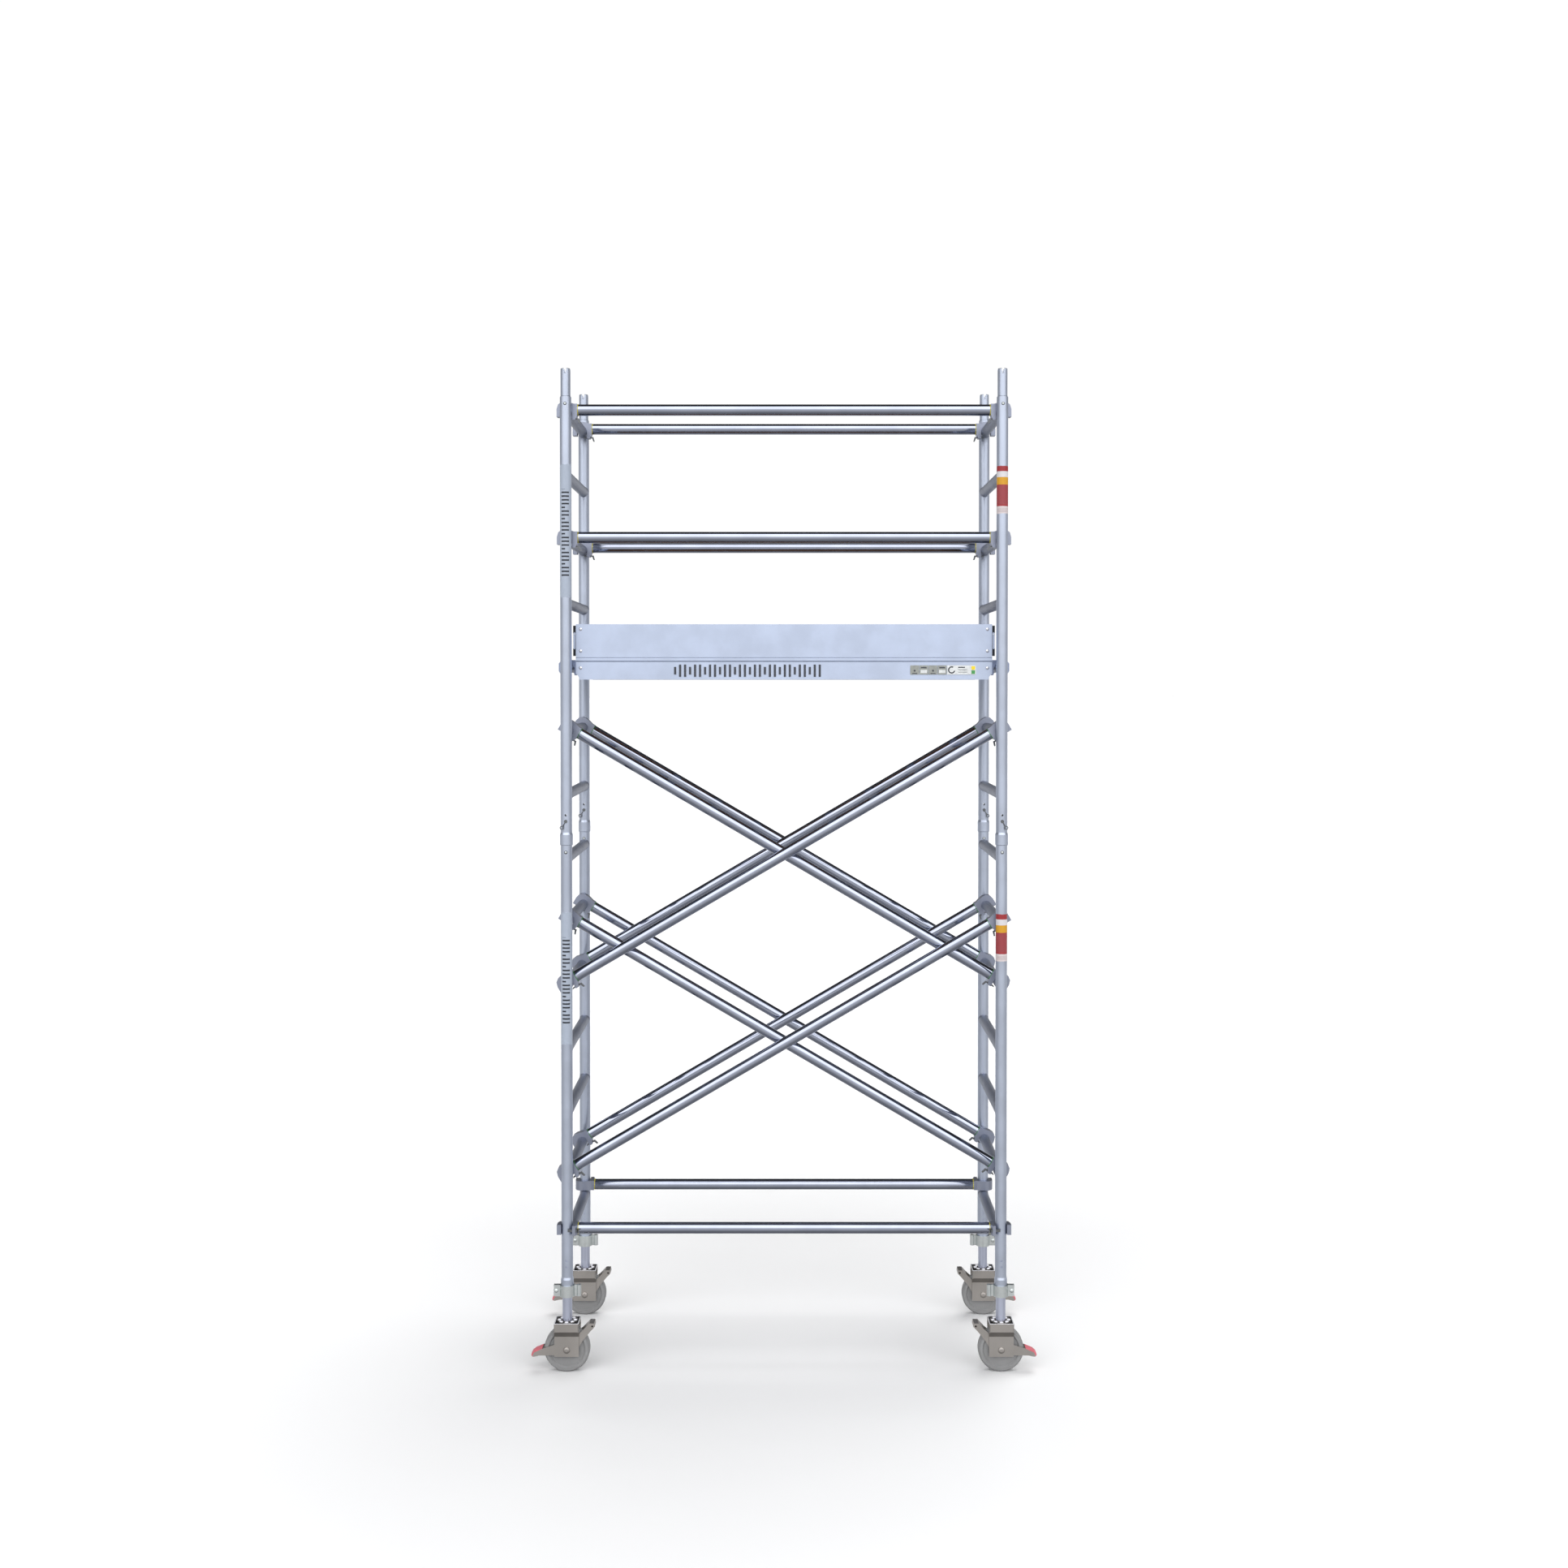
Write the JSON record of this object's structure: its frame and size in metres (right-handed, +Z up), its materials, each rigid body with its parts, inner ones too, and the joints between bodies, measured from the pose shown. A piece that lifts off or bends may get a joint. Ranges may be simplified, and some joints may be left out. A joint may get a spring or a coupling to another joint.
{
  "type": "mobile tower scaffold",
  "caption": "Narrow aluminium mobile tower with ladder end frames, clip-on braces, a guarded platform with hatch and toe boards, and braked swivel castors.",
  "frame": {"origin": "on the floor under the middle of the tower", "axes": "+Z up, X along the bay between the two end frames, -Y the side seen from the front"},
  "size_m": [2.214, 0.8, 4.404],
  "materials": {
    "upright_aluminium": "satin extruded tube",
    "rung_aluminium": "ribbed extruded tube",
    "brace_aluminium": "bright mill finish tube",
    "cast_aluminium": "dull casting",
    "latch_steel": "zinc plated",
    "zinc_steel": "galvanised",
    "platform_aluminium": "satin anodised extrusion",
    "hook_casting": "casting",
    "deck_plywood": "film-faced plywood with a slip-resistant mesh pattern",
    "fitting_black": "black moulding",
    "stem_steel": "zinc plated tube",
    "castor_steel": "passivated pressed steel",
    "wheel_plastic": "grey cast wheel with a grey tread"
  },
  "bodies": {
    "tower": {"uprights_lower_left": "upright_aluminium", "rungs_lower_left": "rung_aluminium", "uprights_lower_right": "upright_aluminium", "rungs_lower_right": "rung_aluminium", "spigots_lower": "upright_aluminium", "lower_braces_front": "brace_aluminium", "lower_braces_back": "brace_aluminium", "lower_brace_claws": "cast_aluminium", "uprights_upper_left": "upright_aluminium", "rungs_upper_left": "rung_aluminium", "uprights_upper_right": "upright_aluminium", "rungs_upper_right": "rung_aluminium", "spigots_upper": "upright_aluminium", "upper_braces_front": "brace_aluminium", "upper_braces_back": "brace_aluminium", "upper_brace_claws": "cast_aluminium", "spigot_rivets": "zinc_steel", "foot_clamps": "zinc_steel", "clamp_bolts": "zinc_steel", "platform_rivets": "zinc_steel", "hatch_hinges": "zinc_steel", "guard_rails": "brace_aluminium", "base_rails": "brace_aluminium", "guard_rail_claws": "cast_aluminium", "base_rail_claws": "cast_aluminium", "platform_side_beams": "platform_aluminium", "platform_end_beams": "platform_aluminium", "platform_cross_bars": "platform_aluminium", "toe_boards_long": "platform_aluminium", "toe_boards_end": "platform_aluminium", "platform_hooks": "hook_casting", "platform_deck": "deck_plywood", "toe_board_fittings": "fitting_black"},
    "stem_front_left": {"castor_stem_front_left": "stem_steel"},
    "fork_front_left": {"castor_fork_front_left": "castor_steel"},
    "wheel_front_left": {"castor_wheel_front_left": "wheel_plastic"},
    "brake_front_left": {"castor_brake_front_left": "castor_steel"},
    "stem_back_left": {"castor_stem_back_left": "stem_steel"},
    "fork_back_left": {"castor_fork_back_left": "castor_steel"},
    "wheel_back_left": {"castor_wheel_back_left": "wheel_plastic"},
    "brake_back_left": {"castor_brake_back_left": "castor_steel"},
    "stem_front_right": {"castor_stem_front_right": "stem_steel"},
    "fork_front_right": {"castor_fork_front_right": "castor_steel"},
    "wheel_front_right": {"castor_wheel_front_right": "wheel_plastic"},
    "brake_front_right": {"castor_brake_front_right": "castor_steel"},
    "stem_back_right": {"castor_stem_back_right": "stem_steel"},
    "fork_back_right": {"castor_fork_back_right": "castor_steel"},
    "wheel_back_right": {"castor_wheel_back_right": "wheel_plastic"},
    "brake_back_right": {"castor_brake_back_right": "castor_steel"},
    "hatch": {"hatch_lid": "deck_plywood"},
    "clip_front_left": {"frame_clip_front_left": "latch_steel"},
    "clip_back_left": {"frame_clip_back_left": "latch_steel"},
    "clip_front_right": {"frame_clip_front_right": "latch_steel"},
    "clip_back_right": {"frame_clip_back_right": "latch_steel"},
    "rail_latches_left": {"rail_latches_left": "latch_steel"},
    "rail_latches_right": {"rail_latches_right": "latch_steel"},
    "rising_latches_left": {"rising_latches_left": "latch_steel"},
    "rising_latches_right": {"rising_latches_right": "latch_steel"},
    "falling_latches_left": {"falling_latches_left": "latch_steel"},
    "falling_latches_right": {"falling_latches_right": "latch_steel"}
  },
  "joints": [
    {"name": "castor_height_front_left", "type": "slide", "parent": "tower", "child": "stem_front_left", "axis": [0, 0, 1], "range_m": [-0.15, 0.08]},
    {"name": "castor_swivel_front_left", "type": "hinge", "parent": "stem_front_left", "child": "fork_front_left", "pos_m": [-0.955, -0.35, 0.221], "axis": [0, 0, 1], "continuous": true},
    {"name": "wheel_spin_front_left", "type": "hinge", "parent": "fork_front_left", "child": "wheel_front_left", "pos_m": [-0.955, -0.35, 0.1], "axis": [0, 1, 0], "continuous": true},
    {"name": "brake_rocker_front_left", "type": "hinge", "parent": "fork_front_left", "child": "brake_front_left", "pos_m": [-0.955, -0.35, 0.1], "axis": [0, 1, 0], "range_deg": [0, 24]},
    {"name": "castor_height_back_left", "type": "slide", "parent": "tower", "child": "stem_back_left", "axis": [0, 0, 1], "range_m": [-0.15, 0.08]},
    {"name": "castor_swivel_back_left", "type": "hinge", "parent": "stem_back_left", "child": "fork_back_left", "pos_m": [-0.955, 0.35, 0.221], "axis": [0, 0, 1], "continuous": true},
    {"name": "wheel_spin_back_left", "type": "hinge", "parent": "fork_back_left", "child": "wheel_back_left", "pos_m": [-0.955, 0.35, 0.1], "axis": [0, 1, 0], "continuous": true},
    {"name": "brake_rocker_back_left", "type": "hinge", "parent": "fork_back_left", "child": "brake_back_left", "pos_m": [-0.955, 0.35, 0.1], "axis": [0, 1, 0], "range_deg": [0, 24]},
    {"name": "castor_height_front_right", "type": "slide", "parent": "tower", "child": "stem_front_right", "axis": [0, 0, 1], "range_m": [-0.15, 0.08]},
    {"name": "castor_swivel_front_right", "type": "hinge", "parent": "stem_front_right", "child": "fork_front_right", "pos_m": [0.955, -0.35, 0.221], "axis": [0, 0, 1], "continuous": true},
    {"name": "wheel_spin_front_right", "type": "hinge", "parent": "fork_front_right", "child": "wheel_front_right", "pos_m": [0.955, -0.35, 0.1], "axis": [0, 1, 0], "continuous": true},
    {"name": "brake_rocker_front_right", "type": "hinge", "parent": "fork_front_right", "child": "brake_front_right", "pos_m": [0.955, -0.35, 0.1], "axis": [0, -1, 0], "range_deg": [0, 24]},
    {"name": "castor_height_back_right", "type": "slide", "parent": "tower", "child": "stem_back_right", "axis": [0, 0, 1], "range_m": [-0.15, 0.08]},
    {"name": "castor_swivel_back_right", "type": "hinge", "parent": "stem_back_right", "child": "fork_back_right", "pos_m": [0.955, 0.35, 0.221], "axis": [0, 0, 1], "continuous": true},
    {"name": "wheel_spin_back_right", "type": "hinge", "parent": "fork_back_right", "child": "wheel_back_right", "pos_m": [0.955, 0.35, 0.1], "axis": [0, 1, 0], "continuous": true},
    {"name": "brake_rocker_back_right", "type": "hinge", "parent": "fork_back_right", "child": "brake_back_right", "pos_m": [0.955, 0.35, 0.1], "axis": [0, -1, 0], "range_deg": [0, 24]},
    {"name": "hatch_hinge", "type": "hinge", "parent": "tower", "child": "hatch", "pos_m": [-0.52, 0.22, 3.1493], "axis": [-1, 0, 0], "range_deg": [0, 95]},
    {"name": "clip_pull_front_left", "type": "slide", "parent": "tower", "child": "clip_front_left", "axis": [0, -1, 0], "range_m": [0, 0.06]},
    {"name": "clip_pull_back_left", "type": "slide", "parent": "tower", "child": "clip_back_left", "axis": [0, -1, 0], "range_m": [0, 0.06]},
    {"name": "clip_pull_front_right", "type": "slide", "parent": "tower", "child": "clip_front_right", "axis": [0, -1, 0], "range_m": [0, 0.06]},
    {"name": "clip_pull_back_right", "type": "slide", "parent": "tower", "child": "clip_back_right", "axis": [0, -1, 0], "range_m": [0, 0.06]},
    {"name": "rail_latch_slide_left", "type": "slide", "parent": "tower", "child": "rail_latches_left", "axis": [1, 0, 0], "range_m": [0, 0.02], "stiffness_N_per_m": 200, "springref_m": -0.01},
    {"name": "rail_latch_slide_right", "type": "slide", "parent": "tower", "child": "rail_latches_right", "axis": [-1, 0, 0], "range_m": [0, 0.02], "stiffness_N_per_m": 200, "springref_m": -0.01},
    {"name": "rising_latch_slide_left", "type": "slide", "parent": "tower", "child": "rising_latches_left", "axis": [0.8626, 0, 0.5058], "range_m": [0, 0.02], "stiffness_N_per_m": 200, "springref_m": -0.01},
    {"name": "rising_latch_slide_right", "type": "slide", "parent": "tower", "child": "rising_latches_right", "axis": [-0.8626, 0, -0.5058], "range_m": [0, 0.02], "stiffness_N_per_m": 200, "springref_m": -0.01},
    {"name": "falling_latch_slide_left", "type": "slide", "parent": "tower", "child": "falling_latches_left", "axis": [0.8626, 0, -0.5058], "range_m": [0, 0.02], "stiffness_N_per_m": 200, "springref_m": -0.01},
    {"name": "falling_latch_slide_right", "type": "slide", "parent": "tower", "child": "falling_latches_right", "axis": [-0.8626, 0, 0.5058], "range_m": [0, 0.02], "stiffness_N_per_m": 200, "springref_m": -0.01}
  ]
}
